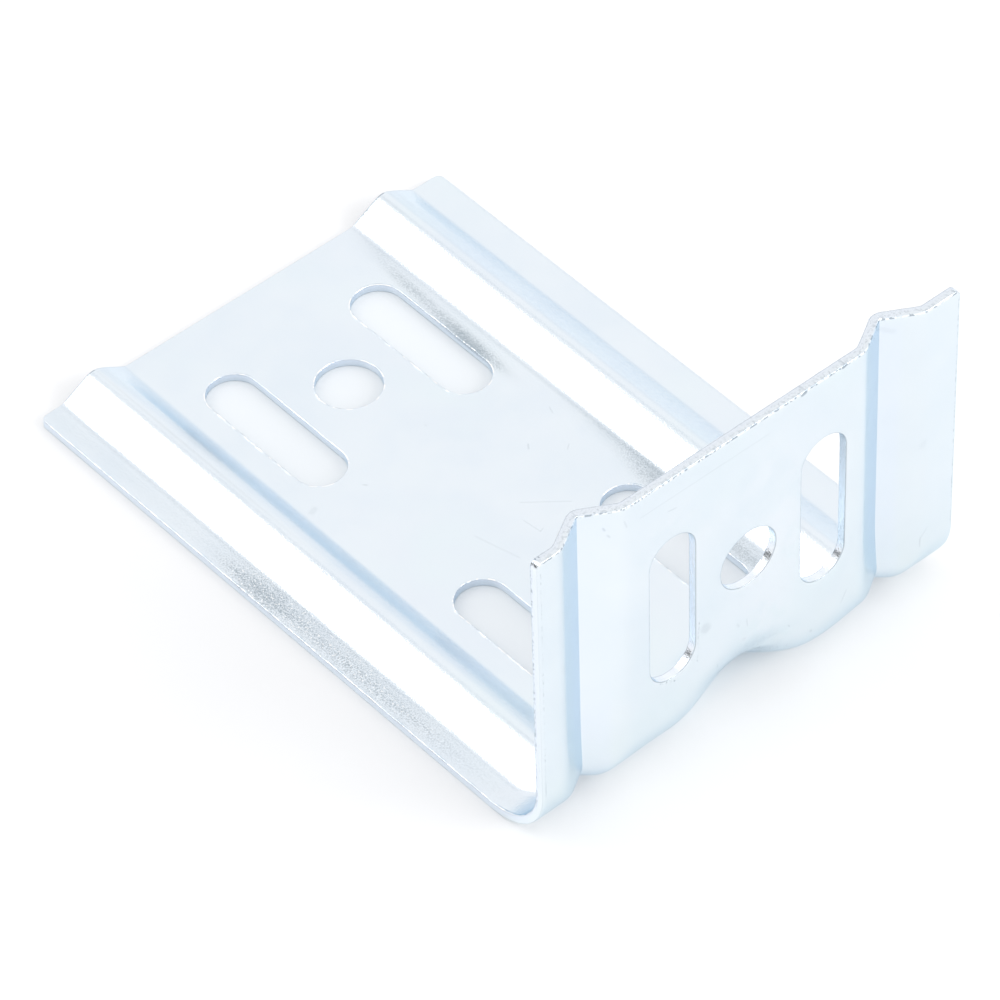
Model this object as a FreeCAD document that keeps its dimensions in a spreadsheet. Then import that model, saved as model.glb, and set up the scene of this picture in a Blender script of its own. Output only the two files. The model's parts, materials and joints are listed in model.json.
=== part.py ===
"""Wall bracket for cable tray: one slotted steel strip with two rolled ridges, folded into an L.

The strip is pressed between two forms. The inner form has the shape of the bracket's inner
face. The outer form has that of its outer face, one sheet thickness further out. Both are made
by the same steps, and what is left between them is the bracket.

The forms are drawn from the corner where the two outer faces would meet: the long leg runs from
there along -X, the short leg rises along +Z, and Y runs across the strip from its middle. The
finished bracket then stands with its origin under the middle of the long leg.
"""

import FreeCAD
import Part
import Sketcher
import math
import os

Vector = FreeCAD.Vector
UP = Vector(0, 0, 1)

# The middle of the fold faces down and outward, half-way between the two legs.
MID_FOLD_DEGREES = 45

# Sizes in millimetres: name, value, meaning.
SIZES = [
    ("sheet", 1.5, "thickness of the steel"),
    ("bend_radius", 12.0, "outer radius of the fold, on the web and the lips"),
    ("slot_length", 30.0, "slots, end to end"),
    ("slot_width", 9.0, "slots, edge to edge"),
    ("slot_spread", 30.0, "between the centre lines of a pair of slots"),
    ("slot_space", 30.0, "between slots that follow each other along the strip"),
    ("hole_diameter", 11.0, "round hole between each pair of slots"),
    ("long_bend_gap", 6.0, "from the end of the fold to the slots of the long leg"),
    ("short_bend_gap", 7.5, "from the end of the fold to the slots of the short leg"),
    ("long_end_gap", 12.0, "from the last slots of the long leg to its free end"),
    ("short_end_gap", 12.5, "from the slots of the short leg to its top edge"),
    ("ridge_clear", 4.5, "from the edge of a slot to the foot of the ridge"),
    ("ridge_half", 6.0, "half the width of the groove behind a ridge"),
    ("ridge_depth", 3.5, "depth of that groove"),
    ("ridge_sink", 1.45, "how much shallower that groove is in the middle of the fold"),
    ("crest_radius", 2.5, "rounding of the crest of a ridge"),
    ("foot_radius", 3.0, "rounding at the feet of a ridge, on the inner face"),
    ("lip_width", 5.5, "flat lip outside each ridge"),
    ("corner_radius", 1.2, "rounding of the four corners of the strip"),
    ("dent_depth", 4.5, "how far the fold is pressed in at its middle"),
    ("dent_radius", 12.0, "radius of the bottom of that dent, on the outer face"),
    ("dent_blend", 12.0, "rounding of the rim of that dent, on the inner face"),
]

# Sizes that follow from them.
DERIVED = [
    ("ridge_place", "slot_spread / 2 + slot_width / 2 + ridge_clear + ridge_half"),
    ("half_width", "ridge_place + ridge_half + lip_width"),
    ("group_pitch", "slot_length + slot_space"),
    ("long_group", "bend_radius + long_bend_gap + slot_length / 2"),
    ("short_group", "bend_radius + short_bend_gap + slot_length / 2"),
    ("long_leg", "long_group + group_pitch + slot_length / 2 + long_end_gap"),
    ("short_leg", "short_group + slot_length / 2 + short_end_gap"),
    ("ridge_turn", "bend_radius - ridge_sink / (sqrt(2) - 1)"),
    ("ridge_stretch", "sqrt(1 + (ridge_depth / ridge_half) ^ 2)"),
    ("dent_top", "bend_radius * (sqrt(2) - 1) + dent_depth"),
]


def make_sizes(doc):
    """The table of sizes that everything below is bound to."""
    sheet = doc.addObject("Spreadsheet::Sheet", "Sizes")
    rows = [(name, str(value), meaning) for name, value, meaning in SIZES]
    rows += [(name, "=" + formula, name.replace("_", " ")) for name, formula in DERIVED]
    for row, (name, content, meaning) in enumerate(rows, start=1):
        sheet.set(f"A{row}", meaning)
        sheet.set(f"B{row}", content)
        sheet.setAlias(f"B{row}", name)
    doc.recompute()
    return sheet


def plane(body, role):
    """One of the origin planes of a body."""
    return [item for item in body.Origin.OriginFeatures if item.Role == role][0]


def new_sketch(body, name, role):
    """An empty sketch on an origin plane of its body."""
    sketch = body.newObject("Sketcher::SketchObject", name)
    sketch.AttachmentSupport = [(plane(body, role), "")]
    sketch.MapMode = "FlatFace"
    return sketch


def value(item, expression):
    """What an expression comes to now, to draw a sketch near its final place."""
    return float(item.evalExpression(str(expression)))


def bind(sketch, constraint, expression):
    """Adds a constraint whose size follows an expression."""
    index = sketch.addConstraint(constraint)
    sketch.setExpression(f"Constraints[{index}]", str(expression))


def place_point(sketch, line, end, x, y):
    """Fixes an end of a line at a place in the sketch."""
    bind(sketch, Sketcher.Constraint("DistanceX", -1, 1, line, end, value(sketch, x)), x)
    bind(sketch, Sketcher.Constraint("DistanceY", -1, 1, line, end, value(sketch, y)), y)


def spot(sketch, x, y):
    """Where a place given by two expressions lies now."""
    return Vector(value(sketch, x), value(sketch, y), 0)


def add_line(sketch, start, end):
    """A straight line between two spots."""
    return sketch.addGeometry(Part.LineSegment(start, end), False)


def add_arc(sketch, centre, radius, start, end):
    """An arc from one angle to another, in radians."""
    circle = Part.Circle(centre, UP, radius)
    return sketch.addGeometry(Part.ArcOfCircle(circle, start, end), False)


def draw_polygon(sketch, corners):
    """A closed outline of straight lines through corners given as expressions."""
    spots = [spot(sketch, x, y) for x, y in corners]
    count = len(spots)
    for i in range(count):
        add_line(sketch, spots[i], spots[(i + 1) % count])
    for i in range(count):
        sketch.addConstraint(Sketcher.Constraint("Coincident", i, 2, (i + 1) % count, 1))
    for i, (x, y) in enumerate(corners):
        place_point(sketch, i, 1, x, y)


def draw_fold(sketch, start, corner, end, radius):
    """A line, an arc tangent to it and a line: the path of the strip round its fold.

    start is the far left end of the level line, corner where both lines would meet and end the
    top of the upright line, all as pairs of expressions.
    """
    r = value(sketch, radius)
    meeting = spot(sketch, *corner)
    add_line(sketch, spot(sketch, *start), meeting - Vector(r, 0, 0))
    add_arc(sketch, meeting + Vector(-r, r, 0), r, -math.pi / 2, 0)
    add_line(sketch, meeting + Vector(0, r, 0), spot(sketch, *end))
    sketch.addConstraint(Sketcher.Constraint("Tangent", 0, 2, 1, 1))
    sketch.addConstraint(Sketcher.Constraint("Tangent", 1, 2, 2, 1))
    sketch.addConstraint(Sketcher.Constraint("Horizontal", 0))
    sketch.addConstraint(Sketcher.Constraint("Vertical", 2))
    bind(sketch, Sketcher.Constraint("Radius", 1, r), radius)
    place_point(sketch, 0, 1, *start)
    place_point(sketch, 2, 2, *end)


def draw_slot(sketch, centre, length, width, upright):
    """A slot with round ends, along the sketch's first axis or upright along its second."""
    reach = f"(({length}) - ({width})) / 2"
    if upright:
        ends = [(centre[0], f"{centre[1]} + {reach}"), (centre[0], f"{centre[1]} - {reach}")]
    else:
        ends = [(f"{centre[0]} - {reach}", centre[1]), (f"{centre[0]} + {reach}", centre[1])]
    turn = 0 if upright else math.pi / 2
    r = value(sketch, f"({width}) / 2")
    spots = [spot(sketch, *end) for end in ends]
    side = Vector(r * math.cos(turn), r * math.sin(turn), 0)
    first = add_arc(sketch, spots[0], r, turn, turn + math.pi)
    add_line(sketch, spots[0] - side, spots[1] - side)
    add_arc(sketch, spots[1], r, turn + math.pi, turn + 2 * math.pi)
    add_line(sketch, spots[1] + side, spots[0] + side)
    for i in range(4):
        sketch.addConstraint(Sketcher.Constraint("Tangent", first + i, 2, first + (i + 1) % 4, 1))
    sketch.addConstraint(Sketcher.Constraint("Equal", first, first + 2))
    bind(sketch, Sketcher.Constraint("Radius", first, r), f"({width}) / 2")
    place_point(sketch, first, 3, *ends[0])
    place_point(sketch, first + 2, 3, *ends[1])


def draw_hole(sketch, centre, diameter):
    """A round hole."""
    size = value(sketch, diameter)
    index = sketch.addGeometry(Part.Circle(spot(sketch, *centre), UP, size / 2), False)
    bind(sketch, Sketcher.Constraint("Diameter", index, size), diameter)
    place_point(sketch, index, 3, *centre)


def add_block(body, gap, reach):
    """The L-shaped block of a form: flat legs and the round fold between them.

    Its back lies one fold radius behind the bracket's outer faces, and reach further.
    """
    sketch = new_sketch(body, body.Name + "Profile", "XZ_Plane")
    far = f"-(Sizes.long_leg + {reach})"
    top = f"Sizes.short_leg + {reach}"
    back = f"Sizes.bend_radius + {reach}"
    draw_fold(sketch, (far, gap), (f"-({gap})", gap), (f"-({gap})", top), f"Sizes.bend_radius - {gap}")
    corners = [(f"-({gap})", top), (back, top), (back, f"-({back})"), (far, f"-({back})"), (far, gap)]
    spots = [spot(sketch, *corner) for corner in corners]
    for i in range(4):
        add_line(sketch, spots[i], spots[i + 1])
    for i in range(2, 6):
        sketch.addConstraint(Sketcher.Constraint("Coincident", i, 2, i + 1, 1))
    sketch.addConstraint(Sketcher.Constraint("Coincident", 6, 2, 0, 1))
    for i in range(1, 4):
        place_point(sketch, i + 3, 1, *corners[i])
    block = body.newObject("PartDesign::Pad", body.Name + "Block")
    block.Profile = sketch
    block.Midplane = True
    block.setExpression("Length", f"2 * (Sizes.half_width + {reach})")
    return block


def add_ridges(body, gap, reach):
    """The two ridges, carried round the fold on a tighter turn than the flats."""
    path = new_sketch(body, body.Name + "RidgePath", "XZ_Plane")
    far = f"-(Sizes.long_leg + {reach})"
    draw_fold(path, (far, "0"), ("0", "0"), ("0", f"Sizes.short_leg + {reach}"), "Sizes.ridge_turn")
    section = new_sketch(body, body.Name + "RidgeSection", "YZ_Plane")
    section.setExpression("AttachmentOffset.Base.z", far)
    root = "Sizes.sheet"
    tip = f"Sizes.ridge_depth + {gap} * Sizes.ridge_stretch"
    half = f"({tip} + {root}) * Sizes.ridge_half / Sizes.ridge_depth"
    draw_polygon(section, [
        (f"Sizes.ridge_place - {half}", f"-{root}"),
        (f"Sizes.ridge_place + {half}", f"-{root}"),
        ("Sizes.ridge_place", tip),
    ])
    ridge = body.newObject("PartDesign::AdditivePipe", body.Name + "Ridge")
    ridge.Profile = section
    ridge.Spine = (path, [f"Edge{i}" for i in (1, 2, 3)])
    mirror = body.newObject("PartDesign::Mirrored", body.Name + "Ridges")
    mirror.Originals = [ridge]
    mirror.MirrorPlane = (plane(body, "XZ_Plane"), [""])
    body.Tip = mirror
    return mirror


def add_dent(body, gap):
    """The round-backed rib that presses the middle of the fold inward."""
    section = new_sketch(body, body.Name + "DentSection", "YZ_Plane")
    tilt = FreeCAD.Rotation(Vector(1, 0, 0), -MID_FOLD_DEGREES)
    section.AttachmentOffset = FreeCAD.Placement(Vector(0, 0, 0), tilt)
    top = f"(Sizes.dent_top + {gap})"
    radius = f"(Sizes.dent_radius + {gap})"
    r = value(section, radius)
    t = value(section, top)
    half = math.sqrt(r * r - (t - r) ** 2)
    ends = math.atan2(r - t, half)
    add_arc(section, Vector(0, t - r, 0), r, ends, math.pi - ends)
    add_line(section, Vector(-half, 0, 0), Vector(half, 0, 0))
    section.addConstraint(Sketcher.Constraint("Coincident", 0, 2, 1, 1))
    section.addConstraint(Sketcher.Constraint("Coincident", 1, 2, 0, 1))
    section.addConstraint(Sketcher.Constraint("PointOnObject", 0, 1, -1))
    section.addConstraint(Sketcher.Constraint("PointOnObject", 0, 2, -1))
    bind(section, Sketcher.Constraint("Radius", 0, r), radius)
    place_point(section, 0, 3, "0", f"{top} - {radius}")
    rib = body.newObject("PartDesign::Pad", body.Name + "Dent")
    rib.Profile = section
    rib.Midplane = True
    rib.setExpression("Length", f"2 * ({top} + Sizes.sheet)")
    return rib


def edges_where(shape, test):
    """The names of the edges whose middle point and direction pass a test."""
    names = []
    for index, edge in enumerate(shape.Edges, start=1):
        middle = edge.valueAt((edge.FirstParameter + edge.LastParameter) / 2)
        along = edge.tangentAt((edge.FirstParameter + edge.LastParameter) / 2)
        if test(middle, along):
            names.append(f"Edge{index}")
    return names


def add_fillet(body, name, base, names, radius):
    """Rounds edges of the last feature."""
    fillet = body.newObject("PartDesign::Fillet", body.Name + name)
    fillet.Base = (base, names)
    fillet.setExpression("Radius", radius)
    return fillet


def is_near(a, b):
    """Whether two lengths agree, to a hundredth of a millimetre."""
    return abs(a - b) < 0.01


def round_feet(body, base, gap):
    """Rounds where the ridges rise from the web and from the lips."""
    depth = value(base, gap)
    side = value(base, f"Sizes.ridge_half * (1 + {gap} * (Sizes.ridge_stretch - 1) / Sizes.ridge_depth)")
    place = value(base, "Sizes.ridge_place")

    def at_foot(middle, along):
        level = is_near(abs(along.x), 1) and is_near(middle.z, depth)
        return level and is_near(abs(abs(middle.y) - place), side)

    names = edges_where(base.Shape, at_foot)
    return add_fillet(body, "Feet", base, names, f"Sizes.foot_radius + Sizes.sheet - {gap}")


def round_crests(body, base):
    """Rounds the crests of the ridges, which only the inner face has."""
    place = value(base, "Sizes.ridge_place")
    depth = value(base, "Sizes.ridge_depth")

    def at_crest(middle, along):
        return is_near(abs(along.x), 1) and is_near(abs(middle.y), place) and middle.z > depth

    names = edges_where(base.Shape, at_crest)
    return add_fillet(body, "Crests", base, names, "Sizes.crest_radius")


def round_dent(body, base, gap):
    """Rounds the rim of the dent, which runs on round the fold by itself."""
    depth = value(base, gap)
    height = value(base, f"sqrt(2) * (Sizes.dent_top + {gap}) - {gap}")

    def at_rim(middle, along):
        return is_near(middle.x, -depth) and is_near(middle.y, 0) and is_near(middle.z, height)

    names = edges_where(base.Shape, at_rim)
    return add_fillet(body, "Rim", base, names, f"Sizes.dent_blend + Sizes.sheet - {gap}")


def round_corners(body, base):
    """Rounds the four corners of the strip."""
    ends = [-value(base, "Sizes.long_leg"), value(base, "Sizes.short_leg")]
    side = value(base, "Sizes.half_width")

    def at_corner(middle, along):
        on_long = is_near(abs(along.z), 1) and is_near(middle.x, ends[0])
        on_short = is_near(abs(along.x), 1) and is_near(middle.z, ends[1])
        return is_near(abs(middle.y), side) and (on_long or on_short)

    names = edges_where(base.Shape, at_corner)
    return add_fillet(body, "Corners", base, names, "Sizes.corner_radius")


def make_form(doc, name, gap, reach):
    """A form whose face lies gap inside the bracket's outer face and that reaches past the strip."""
    body = doc.addObject("PartDesign::Body", name)
    add_block(body, gap, reach)
    add_ridges(body, gap, reach)
    last = add_dent(body, gap)
    doc.recompute()
    last = round_feet(body, last, gap)
    doc.recompute()
    last = round_dent(body, last, gap)
    doc.recompute()
    return body, last


def cut_group(body, name, role, centre, upright):
    """Cuts two slots side by side with a round hole between them, through one leg."""
    sketch = new_sketch(body, name + "Outline", role)
    sides = ["-Sizes.slot_spread / 2", "Sizes.slot_spread / 2"]
    if upright:
        places = [(side, centre) for side in sides]
        middle = ("0", centre)
    else:
        places = [(centre, side) for side in sides]
        middle = (centre, "0")
    for place in places:
        draw_slot(sketch, place, "Sizes.slot_length", "Sizes.slot_width", upright)
    draw_hole(sketch, middle, "Sizes.hole_diameter")
    pocket = body.newObject("PartDesign::Pocket", name)
    pocket.Profile = sketch
    pocket.Type = "ThroughAll"
    pocket.Midplane = True
    return pocket


def cut_slots(doc, body):
    """Two groups along the long leg, one in the short leg."""
    before = body.Shape.Volume
    first = cut_group(body, "LongGroup", "XY_Plane", "-Sizes.long_group", False)
    doc.recompute()
    along = body.newObject("PartDesign::LinearPattern", "LongGroups")
    along.Originals = [first]
    along.Direction = (plane(body, "YZ_Plane"), [""])
    along.Reversed = True
    along.setExpression("Length", "Sizes.group_pitch")
    along.Occurrences = 2
    body.Tip = along
    doc.recompute()
    cut_group(body, "ShortGroup", "YZ_Plane", "Sizes.short_group", True)
    doc.recompute()
    return before - body.Shape.Volume


def check(doc):
    """Stops if any object failed or if the piece is not one valid solid."""
    for item in doc.Objects:
        if "Invalid" in item.State or "Error" in item.State:
            raise RuntimeError(f"{item.Name} failed: {item.State}")
    shape = doc.FoldedStrip.Shape
    if shape.isNull() or not shape.isValid() or len(shape.Solids) != 1:
        raise RuntimeError("the strip is not one valid solid")


def main():
    doc = FreeCAD.newDocument("CableTrayWallBracket")
    make_sizes(doc)

    inner, last = make_form(doc, "InnerForm", "Sizes.sheet", "0")
    last = round_crests(inner, last)
    doc.recompute()
    round_corners(inner, last)
    doc.recompute()
    removed = cut_slots(doc, inner)
    outer, last = make_form(doc, "OuterForm", "0", "Sizes.sheet")

    strip = doc.addObject("Part::Cut", "FoldedStrip")
    strip.Label = "folded_strip"
    strip.Base = inner
    strip.Tool = outer
    strip.setExpression("Placement.Base.x", "Sizes.long_leg / 2")
    doc.recompute()
    check(doc)

    shape = strip.Shape
    box = shape.optimalBoundingBox()
    print(f"strip: {box.XLength:.2f} x {box.YLength:.2f} x {box.ZLength:.2f} mm, {len(shape.Faces)} faces")
    print(f"volume {shape.Volume:.1f} mm3; slots and holes took {removed:.0f} mm3 from the inner form")
    os.makedirs("parts", exist_ok=True)
    shape.exportStep(f"parts/{strip.Label}.step")


main()
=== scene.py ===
# %% [markdown]
# # A folded wall bracket in bright zinc
#
# The bracket is one strip of 1.5 mm steel sheet. It was punched with slots and round holes,
# pressed with two long ridges, and folded once into an L, with a dent pressed into the middle
# of the fold to stiffen it. Then it was plated with zinc, which gives the pale blue shine.
#
# The solid part comes with its exact shape, but as loose facets, and all its edges are equally
# sharp. Those of real punched sheet are not: the punch draws the metal down into a soft shoulder
# on one side and leaves a thin, crisp edge on the other. On a bright metal those shoulders are
# what the eye reads as "sheet steel", because each one catches a thin line of light. So the
# strip is made again here as one smooth surface, in the same place and of the same sizes, and
# the solid part is only used to measure from.

# %% Load the solid part
import json
import math

import bmesh
import bpy
import numpy as np
from mathutils import Matrix, Vector


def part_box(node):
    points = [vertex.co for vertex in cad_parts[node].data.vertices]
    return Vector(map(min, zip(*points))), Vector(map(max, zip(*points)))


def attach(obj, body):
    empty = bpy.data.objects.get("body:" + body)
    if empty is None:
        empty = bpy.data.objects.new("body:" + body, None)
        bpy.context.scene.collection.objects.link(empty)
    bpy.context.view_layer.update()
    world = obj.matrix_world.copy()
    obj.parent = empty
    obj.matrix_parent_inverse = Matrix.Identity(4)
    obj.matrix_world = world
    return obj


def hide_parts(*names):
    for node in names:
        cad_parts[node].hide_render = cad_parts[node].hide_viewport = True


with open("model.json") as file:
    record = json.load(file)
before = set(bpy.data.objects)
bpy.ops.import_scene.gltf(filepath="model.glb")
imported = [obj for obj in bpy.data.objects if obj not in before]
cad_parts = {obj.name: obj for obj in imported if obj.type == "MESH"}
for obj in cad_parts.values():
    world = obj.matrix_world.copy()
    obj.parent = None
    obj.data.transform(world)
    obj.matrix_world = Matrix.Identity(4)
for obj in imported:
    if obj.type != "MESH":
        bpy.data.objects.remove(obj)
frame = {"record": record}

NODE = "folded_strip"
solid_low, solid_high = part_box(NODE)
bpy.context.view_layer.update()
print("the solid reaches from", tuple(solid_low), "to", tuple(solid_high))

# %% [markdown]
# ## Sizes
#
# The outer sizes are read from the solid itself, and the slots and holes from the interfaces
# that its record states. Only what neither tells is written down here: the section of a ridge,
# the roundings and the dent, all in millimetres as a press shop would give them.

# %% Sizes of the strip
MM = 0.001
SHEET = 1.5 * MM
FOLD_RADIUS = 12 * MM
RIDGE_PLACE = 30 * MM
RIDGE_HALF = 6 * MM
RIDGE_DEPTH = 3.5 * MM
CREST_RADIUS = 2.5 * MM
FOOT_RADIUS = 3 * MM
INNER_FOOT_RADIUS = 1.2 * MM
DENT_DEPTH = 4.5 * MM
DENT_RADIUS = 12 * MM
DENT_BLEND = 12 * MM
CORNER_RADIUS = 1.2 * MM

# A right angle's tip stands this many radii out beyond its rounding. The ridges take a tighter
# turn than the fold, which makes them lower by the loss in the middle of the fold.
TIP_REACH = math.sqrt(2) - 1
RIDGE_LOSS = 1.45 * MM
RIDGE_TURN = FOLD_RADIUS - RIDGE_LOSS / TIP_REACH
DENT_TOP = FOLD_RADIUS * TIP_REACH + DENT_DEPTH

LEG_END = solid_low.x
WALL = solid_high.x
TOP = solid_high.z
HALF_WIDTH = solid_high.y

LEVEL_RUN = WALL - FOLD_RADIUS - LEG_END
FOLD_RUN = FOLD_RADIUS * math.pi / 2
STRIP_LENGTH = LEVEL_RUN + FOLD_RUN + TOP - FOLD_RADIUS
print(f"the flat strip would be {STRIP_LENGTH / MM:.1f} mm long")

# %% Slots and holes from the record
mounts = {mount["name"]: mount for mount in frame["record"]["mounts"]}
slots = mounts["long_leg_slots"]["dims"]
SLOT_RADIUS = slots["hole_r_mm"] * MM
SLOT_REACH = slots["slot_length_mm"] * MM / 2 - SLOT_RADIUS
SLOT_SIDE = slots["spacing_y_mm"] * MM / 2
HOLE_RADIUS = mounts["long_leg_holes"]["dims"]["hole_r_mm"] * MM

group_middle = mounts["long_leg_slots"]["pos_m"][0] - LEG_END
group_pitch = slots["spacing_x_mm"] * MM
upright_group = LEVEL_RUN + FOLD_RUN + mounts["short_leg_hole"]["pos_m"][2] - FOLD_RADIUS
GROUPS = [group_middle - group_pitch / 2, group_middle + group_pitch / 2, upright_group]
print("groups of slots along the strip, mm:", [round(group / MM, 2) for group in GROUPS])

# %% [markdown]
# ## The shape as distances
#
# A pressed sheet has the shape of its tool. The tool here is a simple L with a round corner,
# two roof-shaped ridges that follow the L on a tighter turn, and one round bar across the
# corner. Each of the three is easy to write as a distance: how far a point lies in front of it.
# The outer face of the sheet is where the whole tool's distance is zero, and the inner face is
# where it equals the thickness. That keeps the sheet equally thick all over, as a pressed sheet
# is, which a surface pushed about by hand would not.


# %% Distance to the L
def corner_distance(x, z, turn):
    """How far points lie in front of an L with a rounded corner, and in which direction.

    Past the turn's centre the distance is the turn minus the distance to that centre, and
    elsewhere it is the distance to the nearer leg.
    """
    right = x - (WALL - turn)
    down = turn - z
    across = np.maximum(right, 0)
    below = np.maximum(down, 0)
    far = np.hypot(across, below)
    distance = turn - far - np.minimum(np.maximum(right, down), 0)
    round_part = far > 1e-12
    safe = np.where(round_part, far, 1)
    level_nearer = down > right
    toward_x = np.where(round_part, -across / safe, np.where(level_nearer, 0, -1))
    toward_z = np.where(round_part, below / safe, np.where(level_nearer, 1, 0))
    return distance, toward_x, toward_z


above = corner_distance(np.zeros(1), np.full(1, 2 * MM), FOLD_RADIUS)[0]
print("2 mm above the long leg the distance is, mm:", np.round(above / MM, 3))

# %% Distance to the ridges
RIDGE_SLANT = math.hypot(RIDGE_HALF, RIDGE_DEPTH)


def ridge_distance(x, y, z, crest_radius):
    """How far points lie in front of the roof-shaped ridges.

    A ramp is a plane in the section across the strip: height times half width, plus side times
    depth, less their product, over the length of the slant. Near the crest it gives way to a
    circle that touches both ramps.
    """
    height, toward_x, toward_z = corner_distance(x, z, RIDGE_TURN)
    side = np.abs(y) - RIDGE_PLACE
    weighed = height * RIDGE_HALF + np.abs(side) * RIDGE_DEPTH
    ramp = (weighed - RIDGE_HALF * RIDGE_DEPTH) / RIDGE_SLANT
    centre = RIDGE_DEPTH - crest_radius * RIDGE_SLANT / RIDGE_HALF
    on_crest = np.abs(side) * RIDGE_HALF < (height - centre) * RIDGE_DEPTH
    crest = np.hypot(height - centre, side) - crest_radius
    distance = np.where(on_crest & (crest_radius > 0), crest, ramp)
    lean = RIDGE_HALF / RIDGE_SLANT
    toward_y = np.sign(y) * np.sign(side) * RIDGE_DEPTH / RIDGE_SLANT
    return distance, toward_x * lean, toward_y, toward_z * lean


print(f"the ramps rise at {math.degrees(math.atan2(RIDGE_DEPTH, RIDGE_HALF)):.1f} degrees")


# %% Distance to the dent
def dent_distance(x, y, z):
    """How far points lie in front of the round bar that presses the corner inwards.

    The bar's axis crosses the corner at 45 degrees in the middle of the strip.
    """
    inward = (WALL - x + z) / math.sqrt(2) - (DENT_TOP - DENT_RADIUS)
    far = np.hypot(inward, y)
    share = inward / far / math.sqrt(2)
    return far - DENT_RADIUS, -share, y / far, share


print(f"a bar of {2 * DENT_RADIUS / MM:.0f} mm dents the fold by {DENT_DEPTH / MM:.1f} mm")

# %% [markdown]
# ## Where two forms of the tool meet
#
# The metal cannot follow a sharp inner corner. It bridges it in an arc, as if a ball of a fixed
# radius had rolled along the joint. A bevel or a smoothed boolean would round every joint alike
# and lose the thickness. The distance to a rolled ball has a formula of its own, so the blends
# stay exact, and the whole tool is still one distance.

# %% Rolling-ball blend of two distances
SAME_WAY = 1e-6


def pair(first, second):
    """Two distances, how alike their directions are (their product), and one less its square."""
    a, *a_way = first
    b, *b_way = second
    alike = sum(p * q for p, q in zip(a_way, b_way))
    return a, b, alike, np.maximum(1 - alike ** 2, 1e-9)


def rolled(first, second, radius):
    """The nearer of two distances, with a ball of this radius rolled along where they meet.

    The ball touches both, so its centre is where both distances equal the radius. A point that
    the ball's shade covers lies at the radius minus its distance to that centre.
    """
    a, b, alike, spread = pair(first, second)
    u = radius - a
    v = radius - b
    shaded = (u > v * alike) & (v > u * alike) & (u + v > 0) & (spread > SAME_WAY)
    centre = np.sqrt(np.maximum(u * u + v * v - 2 * u * v * alike, 0) / spread)
    return np.where(shaded, radius - centre, np.minimum(a, b))


level_face = (np.zeros(1), 0, 0, 1)
upright_face = (np.zeros(1), 1, 0, 0)
bridged = -rolled(level_face, upright_face, FOOT_RADIUS + SHEET)
print("in a square corner the ball of a foot leaves free, mm:", np.round(bridged / MM, 3))


# %% The same blend on the round bar
def rolled_on_bar(first, second, radius):
    """The same where the second is the dent's round bar, so that the ball touches a curved face.

    In the plane of both directions the bar is cut at a slant, and its section there has the
    bar's radius over one minus the squared share of the bar's axis in that plane.
    """
    a, b, alike, spread = pair(first, second)
    on_axis = (first[1] + first[3]) ** 2 / 2
    section = DENT_RADIUS / np.maximum(1 - on_axis / spread, 1e-4)
    from_centre = section + b
    aside = from_centre * np.sqrt(spread)
    rise = radius - a + from_centre * alike
    reach = np.sqrt(np.maximum((section + radius) ** 2 - rise ** 2, 0))
    shaded = (aside < reach) & (aside * rise > from_centre * alike * reach)
    shaded &= spread > SAME_WAY
    return np.where(shaded, radius - np.hypot(aside - reach, a - radius), np.minimum(a, b))


# %% Distance to the whole tool
def tool_distance(x, y, z, crest_radius, foot_radius):
    """How far points lie in front of the whole tool: the L, its ridges and its dent."""
    legs, toward_x, toward_z = corner_distance(x, z, FOLD_RADIUS)
    legs_way = (legs, toward_x, np.zeros_like(y), toward_z)
    ridges = ridge_distance(x, y, z, crest_radius)
    with_ridges = rolled(legs_way, ridges, foot_radius + SHEET)
    with_dent = rolled_on_bar(legs_way, dent_distance(x, y, z), DENT_BLEND + SHEET)
    return np.minimum(with_ridges, with_dent)


in_middle = [np.full(1, LEG_END / 2), np.zeros(1), np.full(1, SHEET)]
on_inner_face = tool_distance(*in_middle, CREST_RADIUS, FOOT_RADIUS)
print("on the inner face of the long leg the distance is, mm:", np.round(on_inner_face / MM, 3))

# %% [markdown]
# ## Where the real sheet is not quite straight
#
# A long ridge never comes out of the press perfectly even. Its crest and its feet rise and sink
# by a few tenths of a millimetre, and on a bright metal that is enough to bend a reflection.
# Noise would bend the reflections just anywhere. Here a few wide bells lift or sink the sheet,
# each with a place, a size and a height, and two more shape the fold beside the dent. The blank
# also lay a little to one side of the tool, so its sides and the short leg's grooves have moved.

# %% Swellings
LEG_SWELLINGS = [
    # along, across, half length, half width, height, all in millimetres
    (60, -35.4, 400, 3.4, 0.12),
    (54, -35.4, 9, 3.6, 0.25),
    (78, -35.4, 22, 3.4, 0.12),
    (60, -27.4, 400, 1.35, 0.37),
    (34, -27.4, 18, 1.35, 0.08),
    (0, -27.4, 9, 1.35, -0.22),
    (90, -27.4, 42, 1.35, -0.22),
    (60, 25.2, 400, 3.0, 0.10),
    (31, 25.2, 12, 3.2, 0.25),
    (71, 25.2, 11, 3.0, 0.25),
    (6, 33.2, 12, 1.4, 0.14),
    (84, 36.6, 50, 1.6, 0.09),
]
FOLD_SWELLINGS = [
    (119, 17, 6.5, 7, -0.8),
    (119, -16, 6.5, 7, 0.25),
]


def bells(along, across, table):
    """A sum of bells, each its height times e to the minus squared distance from its middle.

    The distance is counted in the bell's own half length and half width.
    """
    lift = np.zeros_like(along)
    for middle, side, half_length, half_side, height in table:
        lengthwise = (along / MM - middle) / half_length
        sideways = (across / MM - side) / half_side
        lift += height * MM * np.exp(-(lengthwise ** 2 + sideways ** 2))
    return lift


def smooth(value, low, high):
    """Goes from 0 to 1 between low and high: three times the squared share less twice its cube."""
    share = np.clip((value - low) / (high - low), 0, 1)
    return share * share * (3 - 2 * share)


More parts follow.
